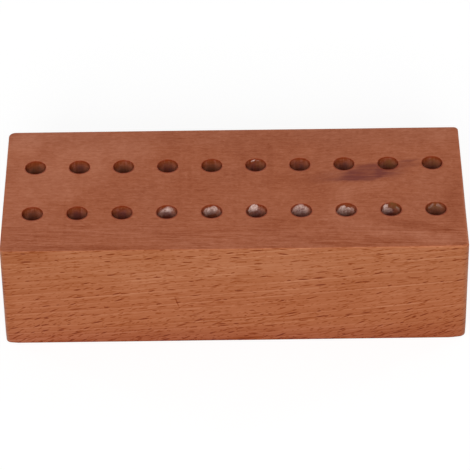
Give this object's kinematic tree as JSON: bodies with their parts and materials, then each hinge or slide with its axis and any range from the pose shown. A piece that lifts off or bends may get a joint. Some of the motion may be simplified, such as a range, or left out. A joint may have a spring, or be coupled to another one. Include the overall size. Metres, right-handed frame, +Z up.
{
  "type": "tool holder block",
  "caption": "Solid wooden block with rows of blind round sockets in its top that hold slim hand tools upright on a bench.",
  "frame": {"origin": "middle of the underside, on the bench", "axes": "+X along the block to the right as seen from the front, +Y from the front face to the back face, +Z up, out of the sockets' mouths"},
  "size_m": [0.155, 0.065, 0.04],
  "materials": {
    "stained_beech": "steamed beech, stained red-brown under a thin satin lacquer; fine dark ray flecks on the front and back faces, close straight grain on the top"
  },
  "bodies": {
    "root": {"holder_block": "stained_beech"}
  },
  "joints": []
}
